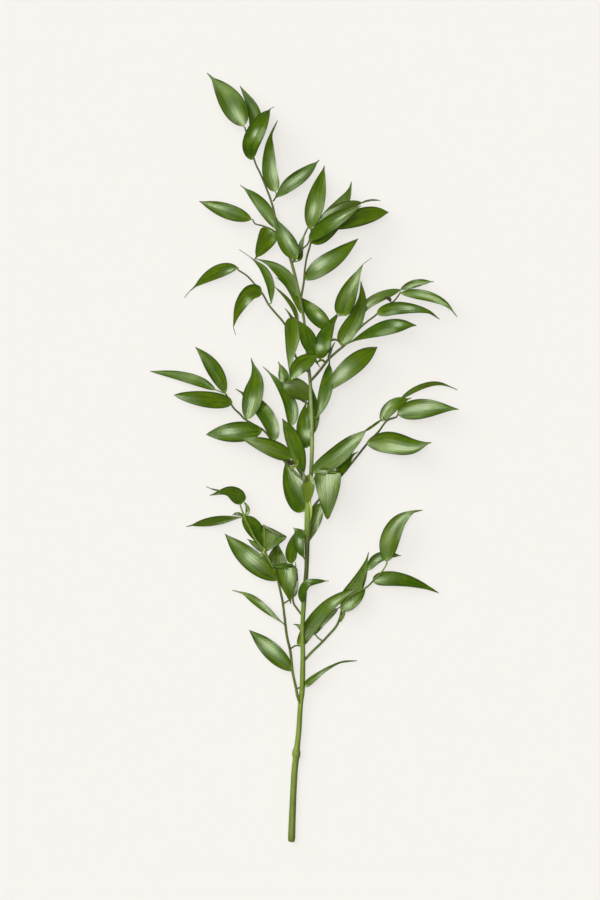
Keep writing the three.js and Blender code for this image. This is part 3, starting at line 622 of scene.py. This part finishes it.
stem_twigs = [      # the points of each twig, with its radius
    [(6.4, 8.5, 22.6, 0.8), (-3, 17, 19, 0.7), (-11, 26.5, 16.5, 0.7)],
    [(4.9, -20, 20.8, 0.9), (12, -15.5, 22.4, 0.8), (18, -14.2, 23.2, 0.7)],
    [(-0.9, -135.6, 10.6, 0.95), (-6.4, -128.3, 10.2, 0.9), (-9.6, -122.3, 9.8, 0.85),
     (-10.4, -104, 9, 0.6), (-10.6, -90, 9.6, 0.6)],
]
stem_leaves = [
    ((-51.9, 281.3, 29), (-63.6, 303.7, 27.1), (-82.9, 326.8, 17.6),
     20.6, -3, {"base": 0.62, "tip": 0.85, "neck": 2, "point": 0.2, "tone": 0.4}),
    ((-43.8, 259.7, 32), [(-41.2, 278.4, 26.4), (-43.5, 295.9, 21)], (-54.8, 315.8, 14),
     11.2, -9, {"base": 0.9, "tip": 0.9, "point": 0.06, "tone": 0.2, "cup": 0.2}),
    ((-45.5, 252.9, 31.5), [(-45.7, 264.4, 37.4), (-40.8, 276.4, 38.9), (-35.3, 286.9, 35.8)],
     (-28.6, 296.2, 28.3), 15.6, -4,
     {"base": 0.55, "tip": 0.7, "point": 0.1, "hair": (3, 1.3, 0), "tone": 0, "cup": 0.24}),
    ((-25.1, 194.2, 31), (-36, 213.9, 28), (-54.7, 231.5, 22.5),
     10.9, -6, {"base": 0.8, "tip": 0.9, "neck": 1, "tone": 0.2}),
    ((-6.4, 169.2, 34), (-16.2, 185, 34.7), (-24.6, 205, 30.4),
     15.2, 3, {"base": 0.6, "tip": 0.85}),
    ((-4.2, 167.2, 29.8), [(-3.9, 176.4, 27), (-0.8, 187, 25.6)], (4.3, 198, 25),
     6.2, -8, {"base": 0.5, "tip": 1.7, "tone": 0}),
    ((-6, 136.8, 30), (-20.5, 158.2, 24.5), (-42.2, 169, 17), 11.4, 8, {"tone": 0}),
    ((-3.4, 122.8, 29), (-9.8, 139.8, 21), (-24.2, 153, 16), 6.4, 6, {"tone": 0}),
    ((-5.4, 115.6, 27.4), [(-9.2, 126.7, 24), (-15.8, 135.8, 21)], (-26.2, 146.1, 17.5),
     4.3, 26, {"stalk": 0, "base": 0.5, "tip": 0.8, "point": 0.1, "tone": 1.3}),
    ((-11.8, 27.3, 16.2), (-14.2, 50.6, 14.9), (-35.4, 77.4, 3.6),
     11.4, 9, {"base": 0.5, "tip": 0.85, "tone": 0}),
    ((7.4, 20, 21.4), (7.2, 43.5, 18.6), (5.5, 63.3, 22), 11, -10),
    ((2.1, 8.5, 20.6), (-1.4, 26.8, 21.3), (2.1, 49.7, 10.5),
     11.6, 4, {"base": 0.45, "tip": 0.8, "tone": 0}),
    ((-1.9, -17.4, 22), (-7.1, 8.5, 27), (-18.9, 32.9, 30),
     14, -12, {"base": 0.9, "tip": 0.8, "point": 0.06, "tone": 0.3}),
    ((5, 84.1, 29.4), (4, 98.2, 33), (-5, 116, 36.5),
     13.6, -6, {"base": 1.15, "tip": 0.9, "point": 0.06, "tone": 0}),
    ((-0.4, -45.5, 14.2), (-9.6, -25.9, 17.2), (-16.9, -0.3, 14.9),
     18.8, 8, {"base": 0.42, "tip": 0.75, "tone": 0.4}),
    ((4.2, -14.4, 23.2), (3.3, -25.9, 24.4), (3, -39.5, 21), 10.8, -14,
     {"stalk": 0, "base": 0.55, "tip": 0.7, "point": 0.05, "cup": 0.1, "tone": -0.3}),
    ((-10.8, -90, 8.8), (-10.9, -77.8, 12), (-7.1, -61.2, 15.4),
     10, -6, {"base": 0.6, "tip": 0.8, "tone": 0.7}),
    ((-0.6, -62, 18.2), [(-4.7, -68.8, 19.9), (-3.5, -78.3, 19.8)], (0.1, -86.6, 17.9),
     10.2, 0, {"base": 0.3, "tip": 0.7, "tone": 0.1}),
    ((-9.8, -118.6, 9.8), (-7.4, -107.5, 9), (-7.7, -88.8, 8.5),
     4.8, 0, {"base": 0.5, "tip": 0.7, "tone": 0}),
    ((-0.9, -124.2, 12.6), [(-2.2, -116, 17), (1.4, -108, 20), (8.1, -105.5, 20.4)],
     (20.8, -104.8, 17), 7.2, -12, {"base": 0.5, "tip": 0.6, "point": 0.12, "tone": 0}),
    ((0, -194.5, 7), [(8.9, -186.9, 8.6), (20, -179.3, 8.5), (31.9, -174, 6)],
     (44.6, -172.9, 3), 6, 6, {"base": 0.35, "tip": 2, "neck": 0.8, "tone": 0.8}),
    ((13.2, 52.3, 24), (38.7, 76.6, 27.5), (62, 93.9, 18.2),
     16.6, -5, {"stalk": 0, "base": 1.05, "tip": 0.82, "point": 0.05, "tone": 0.9}),
    ((9.9, 33.6, 29.4), (17.8, 56.5, 27.9), (21.3, 84.6, 17.2),
     11.4, -5, {"base": 0.9, "tip": 0.7, "tone": 0}),
    ((7.2, -13.2, 22), [(24.6, -0.8, 25.6), (39.7, 12.5, 27.2)], (53, 23.5, 26.8),
     16, -3, {"base": 0.42, "tip": 0.76, "point": 0.08, "tone": 0.6}),
    ((19.6, -12.3, 23), (19.9, -31.9, 23.3), (19.5, -52.6, 21.1),
     22.6, 3, {"base": 0.12, "tip": 0.75, "point": 0.05, "tone": 1, "cup": 0.08}),
    ((4.2, -71, 12), (8.9, -54.4, 9.4), (14.2, -36.1, 8.6),
     10.6, 5, {"base": 1, "tip": 0.5, "tone": 0.8}),
    ((1.3, -64.5, 17.2), (-3.8, -63.8, 17.4), (-9.6, -59.6, 17),
     6.4, 0, {"stalk": 0, "base": 0.4, "tip": 0.55, "tone": 0.3}),
    ((1.3, -20.8, 25.4), (-0.9, -15.7, 25.6), (-3, -8.9, 24),
     4.6, 0, {"stalk": 0, "base": 0.4, "tip": 0.9, "tone": 1.8}),
    ((-9.1, -5.2, 24.4), (-12.7, -3.8, 26), (-16.6, -1.6, 27.6),
     4.4, 20, {"stalk": 0, "base": 0.4, "tip": 0.6, "tone": 2}),
    ((-12.7, -8.6, 27), [(-8.6, -7.7, 29), (-5.9, -4.7, 31.4)], (-6.5, -0.9, 32),
     2.5, 0, {"stalk": 0, "base": 0.2, "tip": 0.3, "cup": 0.3, "tone": -0.4}),
    ((3.3, -37, 21.4), (5.4, -43.8, 22.4), (5.2, -53.1, 21.4),
     2.8, 0, {"stalk": 0, "base": 0.4, "tip": 0.7, "cup": 0.3, "tone": -1}),
    ((51.4, 22.5, 24), (58.6, 27.2, 22), (65.9, 32.7, 19.5),
     2.2, 0, {"stalk": 0, "base": 0.3, "tip": 0.3, "tone": 1.1}),
    ((8.5, -12.3, 23.4), (19.1, -11.5, 24.4), (29.8, -13.6, 23),
     4.6, 0, {"stalk": 0, "base": 0.4, "tip": 0.4, "tone": 1}),
]
side_stalks = stalk("stem_side_stalks", stem_twigs, TWIG_STEP, TWIG_SIDES, twig_bark)
dressed(side_stalks, "main_stem")
dressed(leaves("main_stem_blades", stem_leaves, [MAIN_STEM] + stem_twigs), "main_stem")

# ---------------------------------------------------------------------------------------
# Crown tip: two leaves on a very short green twig, which is grown from the thin end of
# the main stem.

spray("crown_tip_twig", [
    [(-26.6, 217.3, 33.2, 0.75), (-24.4, 220.6, 33.2, 0.7), (-23.6, 223, 32.8, 0.65)],
], [
    ((-24.8, 225.7, 33), [(-29.5, 242.7, 33.5), (-29.9, 261.4, 30.8), (-28.3, 274.1, 25)],
     (-22.9, 286.4, 16.1), 13, 5,
     {"base": 0.45, "tip": 1.3, "point": 0.36, "neck": 1.6, "tone": 0.4}),
    ((-24.1, 220.6, 32.4), [(-13, 231.2, 34.9), (0, 241, 35)], (12.8, 252.4, 32.6),
     12.3, -4, {"base": 0.8, "tip": 0.8, "point": 0.12, "tone": 0.1}),
])

# ---------------------------------------------------------------------------------------
# Crown, left: a thin green twig with a leaf at its end and one that hangs below it. The
# twig is grown from the main stem.

spray("crown_left_twig", [
    [(-24.1, 191, 32, 0.75), (-29.3, 194.2, 30, 0.75), (-36.1, 196.8, 28, 0.7),
     (-42.1, 198.5, 26, 0.65), (-43.8, 202, 25, 0.6)],
], [
    ((-45, 202.2, 25), (-67.1, 209.6, 28), (-89.4, 217.5, 26.4),
     13.3, 4, {"base": 0.7, "tip": 0.9, "point": 0.08, "tone": 0.6}),
    ((-28.5, 193.8, 31.5), (-33.7, 182, 30), (-42.5, 167.9, 23),
     16.8, -10, {"base": 0.18, "tip": 0.6, "tone": 0.9}),
])

# ---------------------------------------------------------------------------------------
# Crown, right: a thin green twig, grown from the main stem behind the spray below it. It
# carries three leaves and a dried shred at one tip.

spray("crown_right_twig", [
    [(-10.5, 165, 31.6, 0.75), (-7.2, 168.6, 31.2, 0.7), (-2.1, 176.4, 30.6, 0.7),
     (3, 181.5, 31, 0.7), (5.4, 189.5, 32, 0.65), (5.5, 194, 32.2, 0.6)],
], [
    ((4.3, 194.2, 32.4), (10.2, 219.7, 33.3), (17, 247.8, 22.5),
     15.8, -4, {"base": 0.65, "tip": 0.9, "point": 0.1, "tone": 0.9}),
    ((8.1, 194.2, 32), (31.3, 214.8, 30.6), (39.7, 234.2, 25), 12.4, -5, {"tone": 0.5}),
    ((6.8, 190.5, 32), (26.8, 209, 33), (49.6, 216.3, 29),
     9.4, -12, {"tip": 0.62, "point": 0.05, "tone": 1.4}),
    ((48.4, 216, 28.9), (56.5, 218.4, 28), (64.5, 217.9, 27),
     1.5, 0, {"stalk": 0, "base": 0.4, "tip": 0.5, "tone": 1.5}),
])

# ---------------------------------------------------------------------------------------
# Upper right: a green twig that is grown from the main stem and runs up beside it, with
# four leaves.

spray("upper_right_twig", [
    [(-3.1, 134.7, 30.5, 0.95), (-1.9, 141.1, 31.8, 0.95), (-0.6, 148.3, 33.2, 0.9),
     (0.3, 159.4, 33.6, 0.85), (1.9, 169.6, 34, 0.85), (3.8, 176.4, 34.6, 0.85),
     (5.5, 182.5, 35.2, 0.8)],
], [
    ((0.1, 150.8, 33.6), [(12.5, 160.5, 36.4), (28.4, 171.4, 35.1)], (45.5, 185.7, 29.6),
     16.1, -7, {"base": 0.7, "tip": 0.85, "point": 0.06, "tone": 0.3}),
    ((4.2, 184.4, 36), (22.5, 198.9, 45.2), (48, 213.3, 44.6),
     13.2, 0, {"base": 0.6, "tip": 0.75, "point": 0.08, "tone": 0.3}),
    ((21.7, 193.8, 28.5), (49.5, 204.8, 22.5), (71.5, 208.3, 16),
     15.2, -6, {"base": 0.8, "tip": 0.85, "point": 0.06, "tone": 1}),
    ((5.8, 181.9, 34.6), (19.1, 190.4, 29), (37, 201, 25), 12.4, -10, {"tone": 1}),
])

# ---------------------------------------------------------------------------------------
# Upper left: a long arching green twig with three leaves, grown from the main stem behind
# the leaves in the middle.

spray("upper_left_spray", [
    [(3.2, 72.7, 26.8, 1), (-3.8, 79.5, 24.6, 1), (-9.8, 91.4, 22.4, 1),
     (-12.3, 104.1, 21, 1), (-17.4, 114.2, 20.5, 0.95), (-25.1, 123.3, 20, 0.9),
     (-30.6, 130.1, 19, 0.85), (-36.1, 139.8, 18, 0.8), (-44.6, 150, 16, 0.75),
     (-49.7, 155.1, 15, 0.7), (-56.5, 159.4, 14, 0.65)],
], [
    ((-56.4, 160.9, 15.5), (-75.3, 157.3, 14.5), (-97.8, 141.5, 4),
     11.5, -8, {"base": 0.8, "tip": 0.9, "hair": (-4.5, -5.5, -1), "tone": 1}),
    ((-36.1, 141.1, 18), [(-45.6, 140.4, 22.5), (-52.9, 131.8, 23), (-57.5, 122, 20)],
     (-60.4, 110.9, 15), 12.8, -8,
     {"base": 0.4, "tip": 1, "point": 0.1, "hair": (2, -7, -1), "tone": 1}),
    ((-28.1, 131.3, 18.8), [(-29, 147, 16.4), (-35.3, 160.7, 13)], (-46.8, 171.1, 9),
     7.4, 8, {"base": 0.9, "tip": 1, "hair": (-9, 6, -1), "tone": 0.1}),
])

# ---------------------------------------------------------------------------------------
# Centre left: a short green twig that is grown from the main stem and crosses it, with
# four leaves, one of them with a dried tip.

spray("centre_left_twig", [
    [(2.6, 45.6, 24.9, 0.95), (-7.2, 52.3, 24.4, 0.9), (-14, 60, 25, 0.8),
     (-17.3, 64.5, 25.6, 0.7)],
], [
    ((-12.3, 67.6, 28.2), [(-11.8, 87.1, 27.2), (-9.9, 105, 23.2)], (-10.3, 120.3, 16.3),
     14, 0, {"base": 1.4, "tip": 0.42, "point": 0.05, "tone": 1}),
    ((-11.5, 65.9, 29), [(-4.7, 76.9, 29.4), (4.2, 83.2, 31.6)], (13.6, 87.5, 34.6),
     14, 6, {"base": 0.8, "tip": 0.85, "tone": 0.4}),
    ((-16.6, 62.5, 25.6), (-18.3, 71.8, 26), (-22.5, 81.6, 23), 9, -10, {"tone": 1}),
    ((-18.3, 61.6, 27), (-5.5, 57.9, 26.6), (8.1, 48, 23),
     17.4, -6, {"base": 0.45, "tip": 0.5, "tone": 1.3}),
    ((-11, 118.6, 18.6), (-13.3, 122.7, 20), (-16.6, 126.6, 20.4),
     1.8, 0, {"stalk": 0, "base": 0.4, "tip": 0.9, "tone": 1.5}),
])

# ---------------------------------------------------------------------------------------
# Middle left: a green twig with seven leaves and a short fork, grown from the main stem
# at a joint.

spray("mid_left_spray", [
    [(1.5, -22, 20.4, 1.15), (-3, -17.5, 20.4, 1.1), (-10.6, -9.8, 20, 1.1),
     (-18.3, -1.3, 19.4, 1.1), (-24.5, 8.5, 19, 1.05), (-29.3, 16.6, 19, 1),
     (-35.3, 23.4, 18.6, 0.95), (-49.7, 31.9, 17, 0.9), (-54.8, 37, 16, 0.85),
     (-60.8, 42.9, 15, 0.8), (-66.7, 54, 13, 0.7)],
    [(-11, -9.2, 20.2, 0.8), (-8.4, -7, 20.6, 0.7), (-8.7, -4.2, 20.8, 0.7)],
], [
    ((-67.3, 54.8, 13), (-77.6, 76.2, 16.9), (-92.8, 93.9, 18.4),
     12.8, -5, {"base": 0.7, "tip": 0.9, "point": 0.08, "tone": 0.5}),
    ((-75.6, 57.7, 13), [(-89.7, 64.7, 10.6), (-107.3, 69.8, 6)], (-131.3, 73.5, 0.8),
     9.2, 10, {"base": 0.7, "tip": 0.85, "point": 0.05, "tone": 0.2}),
    ((-61.6, 46.8, 16), (-85, 49.6, 24.2), (-110.9, 53.1, 25.6),
     13.8, -3, {"base": 0.45, "tip": 0.66, "point": 0.05, "tone": 0.6}),
    ((-48.9, 32.7, 20), [(-43.8, 52.3, 19.7), (-41.1, 68, 14.6)], (-45.5, 84.6, 4.8),
     16.8, -2, {"base": 0.6, "tip": 1.05, "tone": 0.3}),
    ((-36.1, 23, 20.5), (-59.9, 21.5, 24.9), (-83.5, 19.5, 21.1),
     17.4, 4, {"base": 0.6, "tip": 0.8, "point": 0.05, "tone": 0.4}),
    ((-25.1, 14.9, 19.4), (-34.8, 38.9, 17.1), (-58.6, 58.4, 2),
     13.4, 8, {"base": 0.45, "tip": 0.58, "tone": 0}),
    ((-10.6, -0.7, 21), (-30.9, 9.3, 24.7), (-54, 16.4, 24.9),
     14.4, -2, {"base": 0.5, "tip": 0.8, "point": 0.08, "tone": 1}),
])

# ---------------------------------------------------------------------------------------
# Upper right: a long forked green twig, grown from the main stem. It carries nine leaves,
# and small dried bracts where they part.

spray("upper_right_spray", [
    [(4.4, 64.2, 28.2, 1.1), (9.8, 70.1, 27.9, 1.2), (13.4, 74.4, 27.4, 1.15),
     (20.4, 83.4, 27, 1.15), (26.3, 88.9, 27, 1.1), (34.8, 96.1, 26.6, 1),
     (40.4, 102.4, 26, 0.9), (47.2, 110.1, 25, 0.85), (54, 116, 24, 0.8),
     (60.8, 121.1, 23, 0.8), (66.7, 127.1, 22, 0.75), (76.1, 133, 20, 0.7),
     (81.2, 139.8, 18.6, 0.65)],
    [(20, 84.6, 27.4, 0.75), (21.6, 92.2, 28, 0.7), (22.6, 101, 28.4, 0.65),
     (24.6, 111.5, 28.6, 0.6), (28, 120.4, 29.4, 0.6)],
], [
    ((31, 120.3, 29.6), (38.3, 141.5, 33.3), (49.7, 164, 32.2),
     16.6, -2, {"base": 0.42, "tip": 1, "point": 0.1, "hair": (7.5, 5.5, 0), "tone": 0.3}),
    ((13.7, 83.7, 31.5), (16.6, 100.7, 32.3), (28, 122.5, 19.4),
     14.4, -6, {"base": 0.55, "tip": 0.9, "point": 0.08, "tone": 0}),
    ((22, 108.8, 25), (7.9, 122.7, 26.7), (-3.8, 136.4, 17.2),
     13.8, 5, {"base": 0.6, "tip": 0.9, "point": 0.06, "tone": 0}),
    ((30.9, 95.8, 27.6), [(36.1, 106.2, 27.3), (44.3, 119.4, 25.2), (48.9, 134.7, 21.3)],
     (48, 150, 15.5), 14.4, 6, {"base": 0.45, "tip": 0.95, "point": 0.1, "tone": 1}),
    ((46.3, 116.5, 18), [(52.3, 128.9, 19.5), (65.9, 137.3, 18.5)], (86.3, 144.2, 14.9),
     8.6, -3, {"tip": 0.55, "base": 0.9, "tone": 0.7}),
    ((81.2, 142.2, 18.6), (94.9, 148, 19.7), (110.1, 149.2, 19.4),
     6.8, 3, {"base": 0.8, "tip": 0.85, "tone": 0.5}),
    ((81.6, 139.8, 18.4), [(93.9, 139.1, 20.9), (107.4, 136.3, 22.4), (120.4, 130, 22.9)],
     (129.8, 119.4, 22.4), 8.8, 0, {"base": 0.7, "tip": 1.05, "tone": 0.8}),
    ((61.6, 122.4, 23.4), [(75.2, 126.4, 29.2), (90.5, 126.5, 31.1), (105, 123.8, 29.2)],
     (114.7, 117.4, 23.5), 11, -4, {"base": 0.5, "tip": 1.3, "tone": 0}),
    ((36.1, 96.3, 27), (67.6, 109.5, 47.8), (94.8, 111.8, 47),
     13, -6, {"base": 1.5, "tip": 1.1, "point": 0.06, "tone": 0}),
    ((22.5, 99, 28.4), (26.3, 100, 28.8), (30.7, 97.5, 28.6),
     1.9, 0, {"base": 0.4, "tip": 0.5, "stalk": 0, "tone": 1.5}),
    ((11.1, 80.7, 29), (14.4, 82.7, 30), (18.3, 80.8, 28.4),
     1.8, 0, {"base": 0.4, "tip": 0.4, "stalk": 0, "tone": 1}),
    ((68.8, 135.2, 22.5), (71.8, 134.9, 22), (73.5, 130.9, 21),
     3.4, 0, {"base": 0.4, "tip": 0.6, "stalk": 0, "tone": 2}),
    ((21, 85.4, 28), (23.2, 92.6, 28.6), (25.9, 98, 28.4),
     1.5, 0, {"base": 0.3, "tip": 0.4, "stalk": 0, "tone": 1.6}),
    ((17.8, 86.4, 29.6), [(12, 88.3, 31.4), (8.8, 84.1, 31.6)], (13.2, 76.4, 28),
     3.4, 0, {"base": 0.5, "tip": 0.6, "stalk": 0, "tone": 0.3}),
])

# ---------------------------------------------------------------------------------------
# Middle right: a long green twig, grown from the main stem and forked near its end, with
# five leaves. Its two pale slivers lie along the folded edge of the stem's leaf below it.

spray("mid_right_spray", [
    [(5.9, -47, 15.4, 1.15), (8.6, -40.5, 12, 1.15), (18.3, -29.3, 10.6, 1.1),
     (30.2, -16.6, 12, 1.05), (38.7, -6.4, 14, 1), (45.5, 2.1, 15.5, 1),
     (53.1, 11.5, 17, 0.95), (63.3, 22.5, 18, 0.9), (67.2, 28.1, 18.2, 0.85),
     (70.5, 31.7, 18.2, 0.9), (73.9, 33.1, 18.3, 1), (78.1, 34.4, 18.4, 0.8),
     (79.5, 37.1, 18.4, 0.65)],
    [(70.1, 31.5, 18, 0.95), (67.6, 33.1, 18.4, 1.1), (66.7, 35.3, 18, 0.75),
     (69.3, 38.7, 17, 0.65), (76.1, 45.5, 16.2, 0.6), (82.9, 50.1, 16, 0.6)],
], [
    ((82, 50.1, 16), [(92.6, 57.1, 14), (105, 62, 11), (116.9, 62.6, 7)], (130.3, 57.6, 3),
     4.8, 0, {"base": 0.6, "tip": 0.95, "tone": 1.2}),
    ((65, 31, 18.8), [(71.2, 40.3, 19.2), (79, 46.6, 18.4)], (91, 50.6, 15),
     11.4, -12, {"base": 0.55, "tip": 0.62, "tone": 0.9}),
    ((79, 37.4, 18.4), (104.5, 41.8, 21.1), (131, 40.9, 19.3),
     17.3, -5, {"base": 0.6, "tip": 1.05, "point": 0.12, "tone": 0.6}),
    ((52.7, 12.3, 17.8), [(71, 12.8, 21.1), (91, 9.7, 22.2)], (108, 12.8, 21.1),
     18.8, 3, {"base": 0.7, "tip": 1, "point": 0.12, "tone": 0.7}),
    ((29.4, -15.2, 13.4), (34.6, -3.8, 17), (45.6, 5, 18.6), 11.5, -15),
    ((40.4, 16.6, 26.5), (38.9, 9.8, 26.6), (42.1, 3.4, 25.5),
     1, 0, {"stalk": 0, "tone": -0.6}),
    ((31, -5.1, 25.6), (35.3, -1.7, 25.8), (39.9, 2.1, 25.5),
     0.9, 0, {"stalk": 0, "tone": -0.6}),
])

# ---------------------------------------------------------------------------------------
# Lower left: the longest green twig, grown from the main stem above its bare foot, with
# crowded and folded leaves. One more leaf grows from it and crosses behind the main stem.

spray("lower_left_spray", [
    [(-3.4, -209.5, 6.6, 1.25), (-5.8, -203.5, 7.6, 1.25), (-7.2, -196, 7.4, 1.2),
     (-10.1, -182.3, 7.4, 1.15), (-12, -165, 8.2, 1.15), (-15.1, -150.9, 9.2, 1.1),
     (-18.2, -125.4, 11.2, 1.05), (-20.7, -112.6, 12.2, 1), (-24.2, -98.2, 13.2, 1),
     (-30.2, -87.1, 14, 0.95), (-34.4, -78.6, 14, 0.9), (-41.2, -70.1, 13.6, 0.85),
     (-46.3, -59.9, 12.9, 1), (-50.1, -52.3, 12.4, 1.5), (-52.8, -45.9, 12.3, 0.8),
     (-54.8, -39.9, 12.5, 0.6)],
    [(-11.6, -162.5, 8.2, 0.75), (-8.1, -160.2, 6.6, 0.7), (-5.5, -159.8, 6.2, 0.65)],
    [(-17.6, -124, 11.4, 0.8), (-12.6, -121, 13.2, 0.7)],
    [(-6.9, -196.8, 7.4, 0.7), (-2.5, -195.1, 6.6, 0.7)],
], [
    ((-10.1, -181.6, 7.6), (-29.5, -163.1, 9.3), (-46.9, -147, 4.7),
     15.1, 2, {"base": 0.7, "tip": 0.95, "point": 0.06, "tone": 0.7}),
    ((-17.1, -142, 11.6), [(-27.9, -133, 10.4), (-41.2, -122.3, 8.6), (-51.7, -115.7, 5.4)],
     (-61.6, -113, 3), 6.8, 6,
     {"base": 1.7, "tip": 1.5, "point": 0.3, "neck": 0.9, "tone": 0.9}),
    ((-22.9, -104.5, 9.4), (-48, -84.6, 12.5), (-67.6, -65, 2.8),
     17.7, 2, {"base": 0.7, "tip": 0.95, "point": 0.08, "tone": 0.5}),
    ((-11.5, -124.1, 13.4), (-13.9, -110.1, 17.5), (-16.2, -92.2, 17.6),
     18.2, 3, {"base": 1.25, "tip": 0.12, "point": 0.04, "tone": 0.8}),
    # tone 1.3 darkens this leaf towards withered brown: partly its own grey-brown, partly
    # painted shade
    ((-23.8, -102.4, 12), (-23.9, -88, 8), (-23.4, -71.4, 1.5),
     20.5, -6, {"base": 0.5, "tip": 1.15, "point": 0.05, "tone": 1.3}),
    ((-53, -51.4, 13.2), (-41.7, -62, 9.6), (-34.4, -80.3, 5.6),
     14, -4, {"stalk": 0, "base": 0.65, "tip": 0.9, "point": 0.06, "tone": 0}),
    ((-34.4, -80.8, 13.8), (-29.7, -71, 15.7), (-25.3, -61.6, 17),
     23.5, -3, {"base": 0.9, "tip": 0.07, "point": 0.02, "tone": 0.9}),
    ((-36.1, -80.3, 12.4), (-42.1, -74, 10.5), (-49, -69.3, 8),
     4.6, 0, {"base": 0.6, "tip": 0.8, "tone": 0}),
    ((-24.2, -98.2, 10.5), (-31, -88, 9.5), (-36.1, -80.3, 9), 6, 10),
    ((-53.5, -39.1, 8), [(-57.9, -31.9, 12), (-66.4, -28.5, 15)], (-80.5, -32.3, 17),
     13, -10, {"base": 0.5, "tip": 1.15, "point": 0.12, "tone": 0.1}),
    ((-50.2, -49.7, 12.4), (-48.4, -43.4, 12), (-52.6, -36.6, 10),
     3.6, 0, {"base": 0.5, "tip": 0.8, "tone": -0.15}),
    ((-53.5, -50.7, 11.6), (-78.1, -54.2, 8), (-100.7, -58.9, 1),
     8, -14, {"base": 1.1, "tip": 1, "tone": 1.2}),
    ((-4.7, -160.6, 5), [(3.7, -146.1, 6.4), (13.3, -133.5, 8.4), (24.6, -122.7, 10.4)],
     (42.9, -111.8, 9), 12.7, 0, {"base": 0.36, "tip": 0.5, "point": 0.05, "tone": 0.9}),
    ((-0.4, -147, 5.6), (-4.2, -143.7, 5.4), (-9.4, -141.9, 5),
     5.2, 0, {"stalk": 0, "base": 0.3, "tip": 1.1, "tone": 0.3}),
    ((-35.4, -57.6, 19.4), (-25.9, -63, 20.2), (-15.2, -67.1, 19.4),
     3.4, 0, {"stalk": 0, "base": 0.4, "tip": 0.4, "tone": 1.6}),
    ((-34.4, -76.5, 16.6), (-35.8, -81.6, 17.2), (-38.3, -86.3, 16.4),
     2.8, 0, {"stalk": 0, "base": 0.3, "tip": 0.5, "cup": 0.3, "tone": -0.45}),
    ((-71.8, -28.1, 16.6), (-77.8, -27, 16.4), (-83.3, -24.6, 16),
     1.3, 0, {"stalk": 0, "base": 0.2, "tone": 1.3}),
    ((-34.6, -56.9, 19.4), (-34.1, -68.4, 18), (-34.4, -80.3, 16.2),
     1, 0, {"stalk": 0, "tone": -0.45}),
    ((-51.9, -50.1, 12.6), (-56.5, -47.9, 13), (-61.4, -48.9, 12.6),
     2.8, 0, {"base": 0.7, "tip": 0.5, "tone": 1.3}),
    ((-6, -96.5, 15.6), (-15.7, -92.2, 17.6), (-27.6, -93.8, 19.4),
     5.4, 0, {"stalk": 0, "base": 0.5, "tip": 0.6, "tone": 0.4}),
])

# ---------------------------------------------------------------------------------------
# Lower right: a green twig that kinks at each joint, grown from the main stem, with six
# leaves and a bract.

spray("lower_right_spray", [
    [(-0.8, -173.4, 6.4, 1.15), (2, -170, 7.2, 1.15), (7.1, -164.6, 7.4, 1.1),
     (13.7, -158.3, 8.2, 1.1), (20.1, -151.5, 9.4, 1.05), (26.9, -143.6, 11, 1.05),
     (30.2, -136.4, 12, 1), (31.4, -130.5, 12.2, 0.95), (33.6, -124.5, 12.6, 0.9),
     (39.5, -117.4, 13.4, 0.9), (47.2, -113, 14, 0.85), (53.1, -110.1, 14.4, 0.8),
     (58.2, -105, 14.6, 0.8), (65, -98.2, 15, 0.75), (68.4, -93.1, 15.1, 0.65),
     (70.4, -89.2, 15.2, 0.65)],
    [(47.5, -112.6, 13.8, 0.7), (50, -104, 12.4, 0.65), (52.4, -97, 12, 0.6)],
    [(15.3, -156.1, 8, 0.7), (11.5, -153.4, 4.5, 0.65), (9.6, -151, 2.8, 0.65)],
], [
    ((69.8, -88.4, 15.6), [(72.2, -71, 17.7), (79.3, -55.8, 18.6), (90.4, -47, 18.5)],
     (100.4, -44.6, 17.3), 16.6, -6,
     {"base": 0.62, "tip": 1.25, "point": 0.3, "neck": 1.6, "tone": 1}),
    ((53.4, -95.6, 12), [(60.8, -86.6, 13), (70.1, -83, 12.6)], (82, -83.4, 11),
     8.6, 0, {"base": 0.5, "tip": 0.75, "point": 0.1, "tone": 0.1}),
    ((31, -124.5, 7.4), (46, -105.5, 10.6), (54.5, -80.3, 13.5),
     13.6, -4, {"base": 0.42, "tip": 0.95, "tone": 0.5}),
    ((30.9, -129.3, 12.8), (42.6, -120.6, 13.3), (53.1, -109.2, 9.3),
     11.6, -4, {"base": 0.45, "tip": 0.7, "tone": 0.8}),
    ((8.1, -150.4, 2.6), (16.4, -138.6, 3.4), (30.7, -126.9, 4.4),
     6.8, 0, {"base": 0.45, "tip": 0.42, "tone": 0}),
    ((58.2, -104.5, 14.4), (84.1, -104.1, 12.5), (114.3, -115.3, 2.6),
     12.6, -4, {"base": 0.42, "tip": 1, "point": 0.08, "tone": 0.2}),
    ((30.2, -139.7, 12.6), (32.4, -134.7, 13.4), (34.6, -129.9, 13.4),
     3.2, 0, {"stalk": 0, "base": 0.5, "tip": 0.5, "tone": 0.9}),
])

# ---------------------------------------------------------------------------------------
# The flat blade that the leaves were copied from is put away.

bpy.data.objects.remove(flat_blade)
